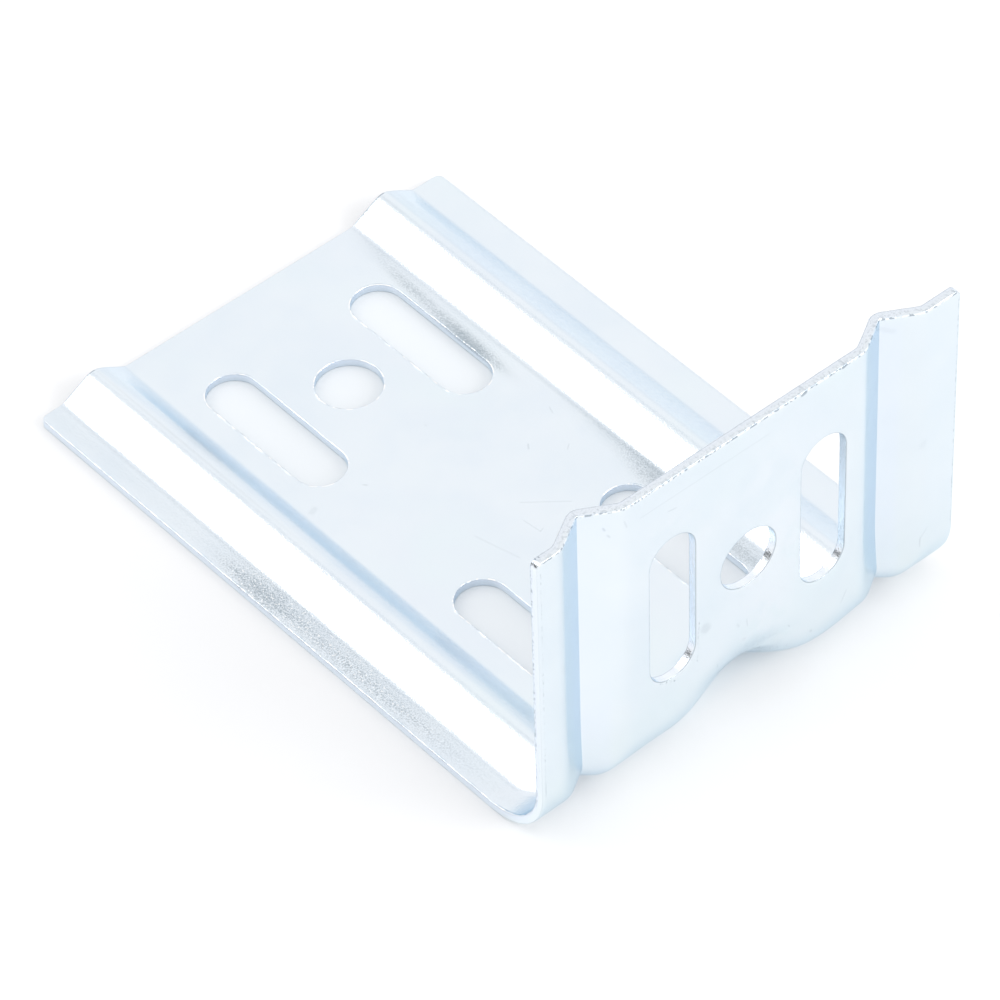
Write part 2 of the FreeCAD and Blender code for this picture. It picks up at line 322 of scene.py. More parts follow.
def swelling(along, across):
    """How far the sheet stands off its tool."""
    on_leg = 1 - smooth(along, LEVEL_RUN - 12 * MM, LEVEL_RUN)
    return bells(along, across, LEG_SWELLINGS) * on_leg + bells(along, across, FOLD_SWELLINGS)


print(len(LEG_SWELLINGS), "swellings on the long leg and", len(FOLD_SWELLINGS), "in the fold")

# %% Sideways drift
SIDE_DRIFT = 0.6 * MM
NEAR_GROOVE_DRIFT = 0.3 * MM
FAR_GROOVE_DRIFT = 1.0 * MM
DRIFT_START = 8 * MM


def drift(along, across):
    """How far the sheet has moved sideways.

    Both sides of the blank move to the far side. Past the fold the grooves move to the near
    side instead, most at the top, where the share of the way up adds its last three tenths.
    """
    sides = SIDE_DRIFT * smooth(np.abs(across), RIDGE_PLACE + 6.5 * MM, HALF_WIDTH)
    upright = smooth(along, LEVEL_RUN + DRIFT_START, LEVEL_RUN + FOLD_RUN + DRIFT_START)
    upright *= 0.7 + 0.3 * (along - LEVEL_RUN) / (STRIP_LENGTH - LEVEL_RUN)
    off_ridge = np.abs(np.abs(across) - RIDGE_PLACE)
    on_ridge = 1 - smooth(off_ridge, 7.2 * MM, 10 * MM)
    grooves = np.where(across > 0, FAR_GROOVE_DRIFT, NEAR_GROOVE_DRIFT)
    return sides - upright * on_ridge * grooves


top_drift = drift(np.full(2, STRIP_LENGTH), np.array([-RIDGE_PLACE, RIDGE_PLACE]))
print("at the top the grooves have moved by, mm:", np.round(top_drift / MM, 2))

# %% [markdown]
# ## From the flat strip to the folded one
#
# A blank is drawn flat, with a length along the strip and a place across it, and every point of
# it has a ray that points to the inner side of the fold: straight up from the long leg, towards
# the centre of the fold in between, and level from the short leg. A face of the sheet is found
# by walking along each ray until the tool's distance has the right value. Halving an interval
# forty times finds that place for all points at once, far finer than any facet.


# %% Rays along the strip
def ray(along):
    """Start and direction, in the XZ plane, of the ray at each length along the strip."""
    turn = np.clip((along - LEVEL_RUN) / FOLD_RADIUS, 0, math.pi / 2)
    past = np.maximum(along - LEVEL_RUN - FOLD_RUN, 0)
    before = np.minimum(along, LEVEL_RUN)
    start_x = LEG_END + before + FOLD_RADIUS * np.sin(turn)
    start_z = FOLD_RADIUS * (1 - np.cos(turn)) + past
    return start_x, start_z, -np.sin(turn), np.cos(turn)


half_way = ray(np.full(1, LEVEL_RUN + FOLD_RUN / 2))
print("half-way round the fold a ray points along x and z by", np.round(half_way[2:], 3).tolist())

# %% Faces of the sheet
RAY_REACH = FOLD_RADIUS - 0.5 * MM
HALVINGS = 40


def face_height(along, across, level, crest_radius, foot_radius):
    """How far along its ray each point of a face lies: where the tool's distance is the level."""
    x0, z0, dx, dz = ray(along)
    low = np.full_like(along, -SHEET)
    high = np.full_like(along, RAY_REACH)
    for _ in range(HALVINGS):
        middle = (low + high) / 2
        x, z = x0 + middle * dx, z0 + middle * dz
        beyond = tool_distance(x, across, z, crest_radius, foot_radius) > level
        high = np.where(beyond, middle, high)
        low = np.where(beyond, low, middle)
    return (low + high) / 2


def place(plan):
    """Points in space for rows of (along, across, depth): the start of the ray plus its height.

    The depth is 0 on the outer face and 1 on the inner face, and shares out the way between.
    """
    along, across, depth = plan[:, 0], plan[:, 1], plan[:, 2]
    x0, z0, dx, dz = ray(along)
    outer = face_height(along, across, 0, 0, FOOT_RADIUS)
    inner = face_height(along, across, SHEET, CREST_RADIUS - SHEET, INNER_FOOT_RADIUS)
    height = outer + depth * (inner - outer) + swelling(along, across)
    return np.stack([x0 + height * dx, across + drift(along, across), z0 + height * dz], axis=1)


on_leg = LEVEL_RUN / 4
in_fold = LEVEL_RUN + FOLD_RUN / 2
probe = [[on_leg, 0, 0], [on_leg, 0, 1], [on_leg, RIDGE_PLACE, 1], [in_fold, 0, 1]]
probe = place(np.array(probe))
print("outer face, inner face, crest and dent at, mm:", np.round(probe / MM, 3).tolist())

# %% [markdown]
# ## The blank as a net of points
#
# A plain grid of lines covers the blank: wide meshes where the sheet is flat and narrow ones on
# the ridges and at the corners. Slots and holes do not fit a grid, so each gets a
# rectangular cell that is left out of it, and rings of points lead from the cell's edge to the
# round outline. Boolean cutting would be quicker to write, but it leaves long thin triangles
# that shade badly on a bright metal. Rings keep the net even right up to the rim.

# %% Lines of the grid
RIM_ZONE = 1.1 * MM
GRID_STEP = 0.9 * MM
WEB_STEP = 1.25 * MM
RIDGE_STEP = 0.5 * MM
SLOT_MARGIN = 4 * MM
CELL_SIDES = (SLOT_SIDE / 2, SLOT_SIDE * 1.5)
RIDGE_ZONE = RIDGE_PLACE + SLOT_SIDE / 2
CORNER_LINES = 6


def lines(stops, steps):
    """Places from the first stop to the last, even between neighbours and no wider than a step."""
    parts = []
    for a, b, step in zip(stops, stops[1:], steps):
        parts.append(np.linspace(a, b, math.ceil((b - a) / step - 1e-6), endpoint=False))
    return np.concatenate(parts + [stops[-1:]])


corner_start = HALF_WIDTH - CORNER_RADIUS
corner_inset = CORNER_RADIUS - RIM_ZONE
half_lines = lines(
    [0.0, CELL_SIDES[0], CELL_SIDES[1], RIDGE_PLACE, RIDGE_ZONE, corner_start],
    [WEB_STEP, WEB_STEP, RIDGE_STEP, RIDGE_STEP, WEB_STEP / 2],
)
corner_turns = np.linspace(0, math.pi / 2, CORNER_LINES + 1)[1:]
half_lines = np.concatenate([half_lines, corner_start + corner_inset * np.sin(corner_turns)])
across_lines = np.concatenate([-half_lines[:0:-1], half_lines])

slot_half = SLOT_REACH + SLOT_RADIUS + SLOT_MARGIN
hole_half = HOLE_RADIUS + SLOT_MARGIN / 2
length_stops = [RIM_ZONE]
for group in GROUPS:
    length_stops += [group - slot_half, group - hole_half, group + hole_half, group + slot_half]
length_stops += [STRIP_LENGTH - RIM_ZONE]
along_lines = lines(length_stops, [GRID_STEP] * (len(length_stops) - 1))
print(len(along_lines), "lines along the strip and", len(across_lines), "across it")


# %% A blank that collects points and faces
class Net:
    """Points of the blank as (along, across, depth, cut), and four-cornered faces between them."""

    def __init__(self):
        self.rows = []
        self.count = 0
        self.faces = []

    def add(self, along, across, depth, cut=0.0):
        """Adds points and gives their numbers, in the shape of the first array."""
        parts = np.broadcast_arrays(along, across, depth, cut)
        self.rows.append(np.stack([part.ravel() for part in parts], axis=1).astype(float))
        numbers = self.count + np.arange(parts[0].size).reshape(parts[0].shape)
        self.count += parts[0].size
        return numbers

    def weave(self, numbers, keep=None):
        """Faces between neighbouring rows and columns of a table of point numbers."""
        corners = numbers[:-1, :-1], numbers[1:, :-1], numbers[1:, 1:], numbers[:-1, 1:]
        quads = np.stack(corners, axis=-1)
        self.faces.append(quads[keep] if keep is not None else quads.reshape(-1, 4))

    def ring(self, numbers):
        """The same for rows that are closed loops."""
        self.weave(np.concatenate([numbers, numbers[:, :1]], axis=1))


net = Net()

# %% The grid of one face
END_WARP = 2.5 * MM


def grid_plan():
    """Places of all grid points, with the ends drawn in at the rounded corners.

    At a corner the end follows a quarter circle: it stands back by the radius less the root of
    the radius squared minus the way past the circle's centre squared.
    """
    along, across = np.meshgrid(along_lines, across_lines, indexing="ij")
    past = np.clip(np.abs(across) - corner_start, 0, corner_inset)
    back = corner_inset - np.sqrt(corner_inset ** 2 - past ** 2)
    from_start = along - RIM_ZONE
    from_end = STRIP_LENGTH - RIM_ZONE - along
    along = along + back * np.clip(1 - from_start / END_WARP, 0, 1)
    along = along - back * np.clip(1 - from_end / END_WARP, 0, 1)
    return along, across


def rim_of(table):
    """The values round the edge of a table, as one closed loop."""
    return np.concatenate([table[0, :-1], table[:-1, -1], table[-1, :0:-1], table[:0:-1, 0]])


plan_along, plan_across = grid_plan()
print(plan_along.size, "points in the grid of each face")


# %% Cells for the holes
def cells():
    """Each slot or hole: its centre, the reach of its straight part, its radius and its cell."""
    for group in GROUPS:
        for side in (-SLOT_SIDE, SLOT_SIDE):
            edge = (CELL_SIDES[1] - CELL_SIDES[0]) / 2
            yield group, side, SLOT_REACH, SLOT_RADIUS, slot_half, edge
        yield group, 0.0, 0.0, HOLE_RADIUS, hole_half, CELL_SIDES[0]


def line_number(table, value):
    """Which line lies at a place."""
    return int(np.argmin(np.abs(table - value)))


cell_spans = []
filled = np.ones((len(along_lines) - 1, len(across_lines) - 1), bool)
for centre_along, centre_across, reach, radius, half_length, half_side in cells():
    i0 = line_number(along_lines, centre_along - half_length)
    i1 = line_number(along_lines, centre_along + half_length)
    j0 = line_number(across_lines, centre_across - half_side)
    j1 = line_number(across_lines, centre_across + half_side)
    filled[i0:i1, j0:j1] = False
    cell_spans.append((slice(i0, i1 + 1), slice(j0, j1 + 1)))
print(int(filled.sum()), "meshes in each face,", len(cell_spans), "cells left out for holes")

# %% [markdown]
# ## Rims
#
# The cut edge has one section all round. The punch draws the outer face down into a wide, low
# shoulder, shears a straight wall, and pushes a thin burr out of the inner face. The burr is a
# tenth of a millimetre high at the most, but its flank turns to the lamp and draws the fine
# bright line round every hole. The section is carried round every outline, with its points
# placed by how far they lie inside the metal and how deep in the sheet. A plain row on each
# face, close to the rounding, keeps the flat face flat in the shading. A bevel would round both
# edges of the wall alike, and a punch leaves two of different kinds.

# %% Section of a rim
SHOULDER_WIDTH = 0.75 * MM
SHOULDER_DEPTH = 0.13 * MM
SHOULDER_ROWS = 6
PLAIN_GAP = 0.12 * MM
WALL_DEPTHS = (SHOULDER_DEPTH + 0.1 * MM, SHEET * 0.45, SHEET * 0.75)
BURR_EDGE = 0.99
BURR = [
    # way into the metal, rise over the inner face, both in millimetres, and cut
    (0, -0.16, 1),
    (0, -0.06, BURR_EDGE),
    (0.03, 0.03, 0.8),
    (0.12, 0.09, 0.5),
    (0.18, 0.08, 0.5),
    (0.32, 0, 0.3),
    (0.42, 0, 0),
    (0.55, 0, 0),
]


def rim_section():
    """Rows of (way into the metal, depth, cut), from the outer face to the inner one.

    The shoulder is a quarter ellipse: its width times one minus the sine, and its depth times
    one minus the cosine, of a turn from 0 to a right angle.
    """
    turns = np.linspace(0, math.pi / 2, SHOULDER_ROWS)
    inset = [SHOULDER_WIDTH + PLAIN_GAP, *(SHOULDER_WIDTH * (1 - np.sin(turns))), 0, 0, 0]
    depth = [0, *(SHOULDER_DEPTH * (1 - np.cos(turns))), *WALL_DEPTHS]
    cut = [0, *(0.5 * np.sin(turns) ** 4), 1, 1, 1]
    inset += [aside * MM for aside, rise, share in BURR]
    depth += [SHEET + rise * MM for aside, rise, share in BURR]
    cut += [share for aside, rise, share in BURR]
    return np.array(inset), np.array(depth) / SHEET, np.array(cut)


def burr_share(along, across):
    """How much of the burr stands at a place: a sum of sines of the way along and across.

    The cut was cleaner at the far side of the blank and at the long leg's end: hardly any there.
    """
    a, c = along / MM, across / MM
    waves = np.sin(3.1 * a + 1.3 * c)
    waves = waves + np.sin(1.9 * a - 2.7 * c + 1) + np.sin(0.8 * a + 0.5 * c + 2)
    share = np.clip(0.6 + 0.42 * waves, 0.05, 1.3)
    clean = (c > 41) | (a < 0.5)
    return np.where(clean, 0.05 * share, share)


def carry_rim(outer_loop, inner_loop, edge_along, edge_across, way_along, way_across):
    """Carries the section round a cut edge and joins it to the loops of both faces."""
    inset, depth, cut = (values[:, None] for values in rim_section())
    depth = np.where(depth > 1, 1 + (depth - 1) * burr_share(edge_along, edge_across), depth)
    rows = net.add(edge_along + inset * way_along, edge_across + inset * way_across, depth, cut)
    net.ring(np.vstack([outer_loop, rows, inner_loop]))


print(len(rim_section()[0]), "rows in the section of a rim")

# %% Both faces, with rings round the holes
RING_COUNT = 6
RING_CROWDING = 1.6
RING_ROWS = np.linspace(0, 1, RING_COUNT + 1)[1:] ** RING_CROWDING


def hole_rings(grid, depth, span, centre_along, centre_across, reach, radius):
    """Rings from the edge of a cell to the rim of its hole, and what the rim needs.

    The nearest point of the slot's middle line gives each point of the cell its way: the edge
    of the hole lies one radius out along it.
    """
    loop = rim_of(grid[span])
    far_along = rim_of(plan_along[span]) - centre_along
    far_across = rim_of(plan_across[span]) - centre_across
    middle = np.clip(far_along, -reach, reach)
    far = np.hypot(far_along - middle, far_across)
    way_along = (far_along - middle) / far
    way_across = far_across / far
    edge_along = centre_along + middle + radius * way_along
    edge_across = centre_across + radius * way_across
    share = 1 - RING_ROWS[:, None]
    run = RIM_ZONE + share * (far - radius - RIM_ZONE)
    rows = net.add(edge_along + run * way_along, edge_across + run * way_across, depth)
    net.ring(np.vstack([loop, rows]))
    return rows[-1], edge_along, edge_across, way_along, way_across


faces = []
for depth in (0.0, 1.0):
    grid = net.add(plan_along, plan_across, depth)
    net.weave(grid, filled)
    rims = [hole_rings(grid, depth, span, *cell[:4]) for span, cell in zip(cell_spans, cells())]
    faces.append((grid, rims))

(outer_grid, outer_rims), (inner_grid, inner_rims) = faces
for outer_rim, inner_rim in zip(outer_rims, inner_rims):
    carry_rim(outer_rim[0], inner_rim[0], *outer_rim[1:])
print(len(outer_rims), "rims carried round the slots and holes")


# %% The outline of the strip
def outline_ways(loop_along, loop_across):
    """The way into the metal round the strip: straight in, or to a corner's centre."""
    to_along = np.clip(loop_along, CORNER_RADIUS, STRIP_LENGTH - CORNER_RADIUS) - loop_along
    to_across = np.clip(loop_across, -corner_start, corner_start) - loop_across
    far = np.hypot(to_along, to_across)
    return to_along / far, to_across / far


loop_along = rim_of(plan_along)
loop_across = rim_of(plan_across)
way_along, way_across = outline_ways(loop_along, loop_across)
edge_along = loop_along - RIM_ZONE * way_along
edge_across = loop_across - RIM_ZONE * way_across
carry_rim(rim_of(outer_grid), rim_of(inner_grid), edge_along, edge_across, way_along, way_across)
print(net.count, "points in the net")

# %% [markdown]
# ## Painted dark reflections and pale patches
#
# The plating is not the same all over. Beside the ridges and on the near lip the inner face
# gets a painted dark reflection: grey where the real face mirrors dark parts of the room. The
# outer face of the short leg has wide paler patches in its plating. An image could show them,
# but it would be as coarse as its pixels. They are painted on the points of the blank instead,
# as bells in millimetres, and the finish adds finer noise.

# %% Painted dark reflections and pale plating
# Painted dark reflection: bells where the inner face is drawn grey for the dark it mirrors.
DARK_REFLECTION_BELLS = [
    # along, across, half length, half width, share, on the inner face
    (16, 21.5, 6, 1.2, 0.32),
    (7, 22.4, 6, 1.3, 0.22),
    (34, 20.0, 8, 1.2, 0.60),
    (27, 20.9, 11, 1.4, 0.34),
    (50, 23.2, 60, 0.4, 0.22),
    (65, 22.6, 12, 1.4, 0.26),
    (77, 21.6, 8, 2.4, 0.42),
    (97, 21.2, 16, 2.0, 0.50),
    (51, -39.6, 6, 1.8, 0.22),
    (54, -39.2, 11, 3.0, 0.22),
    (78, -39.2, 20, 3.0, 0.24),
    (40, -39.0, 400, 3.0, 0.15),
    (40, -36.8, 60, 0.4, 0.14),
    (30, -25.2, 11, 0.8, 0.10),
    (25, -27.2, 10, 1.4, 0.36),
    (20, -29.6, 30, 0.4, 0.20),
    (60, -29.6, 60, 0.35, 0.06),
    (3, 29.6, 6, 0.4, 0.22),
    (28, 29.8, 8, 0.4, 0.12),
    (59, 30.8, 6, 1.6, 0.10),
    (60, 35.9, 60, 0.25, 0.16),
    (66, 32.6, 50, 0.2, 0.08),
]
PALE = [
    # along, across, half length, half width, share, on the outer face
    (150, 5, 24, 7, 0.85),
    (132, -1, 8, 8, 0.6),
    (162, -15, 9, 8, 0.9),
    (119, 8, 5, 4, 0.8),
    (160, 14, 8, 5, 0.3),
]


def painted(plan, table, on_face):
    """A sum of bells on the points of one face, and 0 on all others."""
    return bells(plan[:, 0], plan[:, 1], table) / MM * on_face


print(len(DARK_REFLECTION_BELLS), "patches of film and", len(PALE), "pale patches")


# %% Fold the net into the bracket
def store(mesh, name, values):
    """Gives each point of a mesh a number, or a vector, under a name that a material can read."""
    kind, field = ("FLOAT", "value") if values.ndim == 1 else ("FLOAT_VECTOR", "vector")
    attribute = mesh.attributes.new(name, kind, "POINT")
    attribute.data.foreach_set(field, values.ravel().astype(np.float32))


def fold_strip(name):
    """Places the net's points in space and makes the mesh, leaving out points in no face."""
    used, quads = np.unique(np.concatenate(net.faces), return_inverse=True)
    plan = np.concatenate(net.rows)[used]
    mesh = bpy.data.meshes.new(name)
    mesh.from_pydata(place(plan), [], quads.reshape(-1, 4).tolist())
    store(mesh, "cut", plan[:, 3])
    # the share of painted dark reflection, on the inner face only
    store(mesh, "film", painted(plan, DARK_REFLECTION_BELLS, plan[:, 2] > 0.5))
    store(mesh, "pale", painted(plan, PALE, plan[:, 2] < 0.3))
    store(mesh, "flat", plan[:, :3] * [1 / MM, 1 / MM, 1])
    mesh.shade_smooth()
    return mesh, plan


strip_mesh, strip_plan = fold_strip("strip")
strip = bpy.data.objects.new("folded_zinc_strip", strip_mesh)
bpy.context.scene.collection.objects.link(strip)
print(len(strip_mesh.vertices), "points and", len(strip_mesh.polygons), "faces in the strip")


# %% Faces outwards
def turn_outwards(mesh):
    """Makes all faces point out of the closed shell, and gives its open edges and volume."""
    work = bmesh.new()
    work.from_mesh(mesh)
    bmesh.ops.recalc_face_normals(work, faces=work.faces)
    open_edges = sum(1 for edge in work.edges if not edge.is_manifold)
    volume = work.calc_volume(signed=True)
    work.to_mesh(mesh)
    work.free()
    return open_edges, volume


open_edges, volume = turn_outwards(strip_mesh)
print(f"{open_edges} open edges, {volume / MM ** 3:.0f} cubic millimetres of steel")

# %% [markdown]
# ## Edges that stay sharp
#
# Smooth shading rounds off every edge, also the two that are crisp on the real sheet: the
# bottom of each groove, where the die's ridge bit, and the torn edge under the burr. A split
# by angle would catch others too, so just the edges of these two are marked sharp.

# %% Bottoms of the grooves, and edges of the burr
ends = np.empty(len(strip_mesh.edges) * 2, int)
strip_mesh.edges.foreach_get("vertices", ends)
off_groove = np.abs(np.abs(strip_plan[:, 1]) - RIDGE_PLACE)
in_groove = (off_groove < 1e-7) & (strip_plan[:, 2] * SHEET < SHOULDER_DEPTH / 2)
on_burr_edge = strip_plan[:, 3] == BURR_EDGE
sharp = (in_groove[ends.reshape(-1, 2)] | on_burr_edge[ends.reshape(-1, 2)]).all(axis=1)
strip_mesh.attributes.new("sharp_edge", "BOOLEAN", "EDGE").data.foreach_set("value", sharp)
print(int(sharp.sum()), "edges left sharp")

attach(strip, "root")
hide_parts(NODE)

# %% [markdown]
# ## Camera
#
# The photograph was taken from above, from outside the short leg and to one side, and from some
# distance, so its lines hardly converge. The camera stands where it was taken from. It looks at
# a point just over the long leg, with the photograph's own small roll, and a long lens from a
# metre away gives the same gentle perspective.

# %% Camera
CAMERA_TURN = math.radians(50.162)
CAMERA_RISE = math.radians(46.236)
CAMERA_ROLL = math.radians(-1.787)
CAMERA_AIM = Vector((13.092, -8.149, 16.372)) * MM
CAMERA_FAR = 1016.26 * MM
LENS = 240.34
SENSOR_WIDTH = 36


def add_camera():
    """A camera on a sphere round its aim: turned about the vertical, raised, then rolled."""
    toward = Vector((
        math.sin(CAMERA_TURN) * math.cos(CAMERA_RISE),
        -math.cos(CAMERA_TURN) * math.cos(CAMERA_RISE),
        math.sin(CAMERA_RISE),
    ))
    level = Vector((math.cos(CAMERA_TURN), math.sin(CAMERA_TURN), 0))
    upright = toward.cross(level)
    right = level * math.cos(CAMERA_ROLL) + upright * math.sin(CAMERA_ROLL)
    data = bpy.data.cameras.new("camera")
    data.sensor_width = SENSOR_WIDTH
    data.lens = LENS
    data.clip_start = 0.05
    data.clip_end = 20
    camera = bpy.data.objects.new("camera", data)
    axes = Matrix((right, toward.cross(right), toward)).transposed().to_4x4()
    camera.matrix_world = Matrix.Translation(CAMERA_AIM + toward * CAMERA_FAR) @ axes
    bpy.context.scene.collection.objects.link(camera)
    bpy.context.scene.camera = camera
    return camera


camera = add_camera()
print("the camera stands at", [round(value, 4) for value in camera.matrix_world.translation])

# %% [markdown]
# ## Writing materials as sums
#
# A node tree is a formula drawn as boxes. It is easier to read, and to change, when it is
# written as a formula: the class below wraps one socket of a node, and the usual signs add the
# Math nodes that they stand for.


# %% Sockets that can be added and multiplied
class Wire:
    """One output socket of a node tree, with signs that add Math nodes."""

    def __init__(self, tree, socket):
        self.tree = tree
        self.socket = socket

    def math(self, operation, *others, clamp=False):
        """A Math node on this socket and any other wires or numbers."""
        settings = {"operation": operation, "use_clamp": clamp}
        return self.tree.node("ShaderNodeMath", settings, [self, *others])

    def __add__(self, other):
        return self.math("ADD", other)

    def __sub__(self, other):
        return self.math("SUBTRACT", other)

    def __mul__(self, other):
        return self.math("MULTIPLY", other)

    __radd__ = __add__
    __rmul__ = __mul__

    def __rsub__(self, other):
        return self * -1 + other

    def ramp(self, low, high, start=0.0, end=1.0):
        """Goes smoothly from start to end while this socket goes from low to high."""
        settings = {"interpolation_type": "SMOOTHSTEP", "clamp": True}
        return self.tree.node("ShaderNodeMapRange", settings, [self, low, high, start, end])


# %% Trees that are filled by formula
class Tree:
    """A node tree that is emptied and then filled by formula."""

    def __init__(self, owner):
        owner.use_nodes = True
        self.nodes = owner.node_tree.nodes
        self.links = owner.node_tree.links
        self.nodes.clear()

    def node(self, kind, settings=None, inputs=None, out=0):
        """Adds a node: its settings first, then its inputs, all by number or name.

        It gives back the output asked for, or a list of them for a list of numbers or names.
        """
        node = self.nodes.new(kind)
        for name, value in (settings or {}).items():
            setattr(node, name, value)
        pairs = inputs.items() if isinstance(inputs, dict) else enumerate(inputs or [])
        for key, value in pairs:
            if isinstance(value, Wire):
                self.links.new(value.socket, node.inputs[key])
            else:
                node.inputs[key].default_value = value
        if isinstance(out, list):
            return [Wire(self, node.outputs[key]) for key in out]
        return Wire(self, node.outputs[out]) if node.outputs else node

    def vector(self, operation, *inputs, out=0):
        """A Vector Math node."""
        return self.node("ShaderNodeVectorMath", {"operation": operation}, inputs, out)

    def parts(self, vector):
        """The three parts of a vector."""
        return self.node("ShaderNodeSeparateXYZ", None, [vector], ["X", "Y", "Z"])

    def stored(self, name, out="Fac"):
        """What the mesh stores under a name."""
        return self.node("ShaderNodeAttribute", {"attribute_name": name}, None, out)

    def blend(self, share, first, second, how="MIX"):
        """A mix of two colours: the first where the share is 0 and the second where it is 1."""
        settings = {"data_type": "RGBA", "blend_type": how}
        return self.node("ShaderNodeMix", settings, {0: share, 6: first, 7: second}, out=2)

    def tint(self, share, colour, by):
        """A colour multiplied by another one, as far as the share says."""
        return self.blend(share, colour, by, "MULTIPLY")


def new_material(name):
    """A material and its empty tree."""
    material = bpy.data.materials.new(name)
    return material, Tree(material)


# %% [markdown]
# ## Where a point of the strip lies
#
# The finish is told in the flat strip's own millimetres: a scratch runs from one place of the
# blank to another, and the fold begins at a length. So the finish reads what the net stored on
# every point. It also reads noise on the object's coordinates, which is finer than any net. Both
# stay on the metal when the bracket is turned, as real marks do.

# %% What the finish reads
STRIP_TOP = STRIP_LENGTH / MM
FOLD_START = LEVEL_RUN / MM


class Surface:
    """Wires that tell where a point of the strip lies, and patterns made from them."""

    def __init__(self, tree):
        self.tree = tree
        self.spot = tree.node("ShaderNodeTexCoord", out="Object")
        self.cut = tree.stored("cut")
        self.film = tree.stored("film")
        self.pale = tree.stored("pale")
        plan = tree.stored("flat", "Vector")
        self.flat = tree.vector("MULTIPLY", plan, (1, 1, 0))
        self.along, self.across, self.depth = tree.parts(plan)
        self.off_middle = self.across.math("ABSOLUTE")
        self.outside = self.depth.ramp(0.2, 0.8, 1, 0)
        self.in_middle = self.off_middle.ramp(22, 24, 1, 0)
        self.at_top = self.along.ramp(STRIP_TOP - 1.2, STRIP_TOP - 0.6)
        self.tears = self.noise(2600, 2.0)
        self.streaks = self.noise(1500)

    def noise(self, scale, detail=1.0, rough=0.5):
        """Noise with so many waves to the metre."""
        inputs = {"Vector": self.spot, "Scale": scale, "Detail": detail, "Roughness": rough}
        return self.tree.node("ShaderNodeTexNoise", None, inputs)

    def line(self, start, end, half_width, most=1.0):
        """The most on a straight line between two places of the blank, and 0 beyond its width.

        The nearest point of the line lies at the share (way from the start, dot line) over the
        line's squared length, held between 0 and 1, and what counts is how far that point is.
        """
        line = Vector((end[0] - start[0], end[1] - start[1], 0))
        first = Vector((*start, 0))
        per_mm = line / line.length_squared
        ahead = self.tree.vector("DOT_PRODUCT", self.flat, tuple(per_mm), out=1)
        share = ahead.math("SUBTRACT", first.dot(per_mm), clamp=True)
        nearest = self.tree.vector("MULTIPLY_ADD", tuple(line), share, tuple(first))
        far = self.tree.vector("DISTANCE", self.flat, nearest, out=1)
        return far.ramp(half_width * 0.4, half_width * 1.6, most, 0)

    def lines(self, table):
        """The sum of all lines of a table."""
        return sum(self.line(*row) for row in table)


# %% [markdown]
# ## Clouds in the plating
#
# Bright zinc is a pale blue metal, but no bath plates evenly. Wide, faint clouds lie in it: a
# little duller here, a touch of lilac or of teal there. Three slow noises blend such colours in,
# so faintly that only two places side by side show them. On the outer face the lilac is fainter.

# %% Clouds in the plating
ZINC = (0.820, 0.875, 0.928, 1)
DULL_ZINC = (0.785, 0.850, 0.915, 1)
LILAC_ZINC = (0.818, 0.862, 0.926, 1)
TEAL_ZINC = (0.805, 0.882, 0.922, 1)


def plating(here):
    """The plain zinc with duller, lilac and teal clouds, each where its noise is high."""
    blend = here.tree.blend
    dull = here.noise(60, 4.0, 0.6).ramp(0.35, 0.7)
    lilac = here.noise(28, 3.0).ramp(0.5, 0.75, 0, 0.7) * (1 - here.outside * 0.6)
    teal = here.noise(37, 3.0).ramp(0.5, 0.75, 0, 0.8)
    return blend(teal, blend(lilac, blend(dull, ZINC, DULL_ZINC), LILAC_ZINC), TEAL_ZINC)


# %% [markdown]
# ## Cut walls
#
# A sheared wall is freshly torn metal under a thinner coat, so it is whiter than the faces. The
# walls of the short leg's slots lie in shade, the far slot's more than the near one's, and on
# the long leg the walls that look towards the fold mirror the shaded side of the short leg. The
# plain room of this scene has nothing that dark to mirror, so that shade is painted into the
# walls' colour.

# %% Cut walls
CUT_ZINC = (0.89, 0.935, 1.0, 1)
SHADED_ZINC = (0.79, 0.84, 0.92, 1)
FAR_SLOT_SHADE_ZINC = (0.50, 0.55, 0.61, 1)
END_WALL_SHADE_TINT = (0.83, 0.86, 0.89, 1)


def with_cut_walls(here, colour):
    """Blends in the walls' colour, with its painted shade, where the cut share is past a half."""
    tree = here.tree
    upright_slots = here.off_middle.ramp(7, 9) * here.in_middle * here.along.ramp(136.5, 139.5)
    # painted shade in the short leg's slot walls, deeper in the far slot
    shaded = tree.blend(here.across.ramp(-5, 5), SHADED_ZINC, FAR_SLOT_SHADE_ZINC)
    wall = tree.blend(upright_slots * (1 - here.at_top), CUT_ZINC, shaded)
    facing = tree.node("ShaderNodeNewGeometry", out="Normal")
    to_fold, _, _ = tree.parts(facing)
    # painted reflection of the shaded short leg on the walls that face the fold
    end_wall_shade = to_fold.ramp(0.1, 0.6) * here.along.ramp(FOLD_START - 4, FOLD_START, 1, 0)
    return tree.blend(here.cut.ramp(0.5, 1), colour, tree.tint(end_wall_shade, wall, END_WALL_SHADE_TINT))


# %% [markdown]
# ## The outer face
#
# The outer face of the short leg is a shade warmer than the inner faces, most of all in the
# fold, where the metal was stretched. The wide pale patches lie here, broken up by a noise of
# their own. The grooves keep the plain colour, because they already mirror another part of the
# room.

# %% The outer face
OUTER_TINT = (1.0, 1.0, 0.978, 1)
FOLD_TINT = (1.0, 1.0, 0.985, 1)
PALE_ZINC = (0.862, 0.897, 0.930, 1)
GROOVE = 29.5


def with_outer_face(here, colour):
    """Tints the outer face away from its grooves, adds the pale patches, and tints the fold."""
    tree = here.tree
    off_groove = (here.off_middle - GROOVE).math("ABSOLUTE").ramp(2.5, 4)
    colour = tree.tint(here.outside * off_groove, colour, OUTER_TINT)
    patches = here.pale * here.noise(110, 4.0, 0.7).ramp(0.38, 0.56, 0.25, 1)
    colour = tree.blend(patches, colour, PALE_ZINC)
    in_fold = here.along.ramp(FOLD_START, FOLD_START + 6) * here.along.ramp(122, 138, 1, 0)
    return tree.tint(here.outside * in_fold, colour, FOLD_TINT)
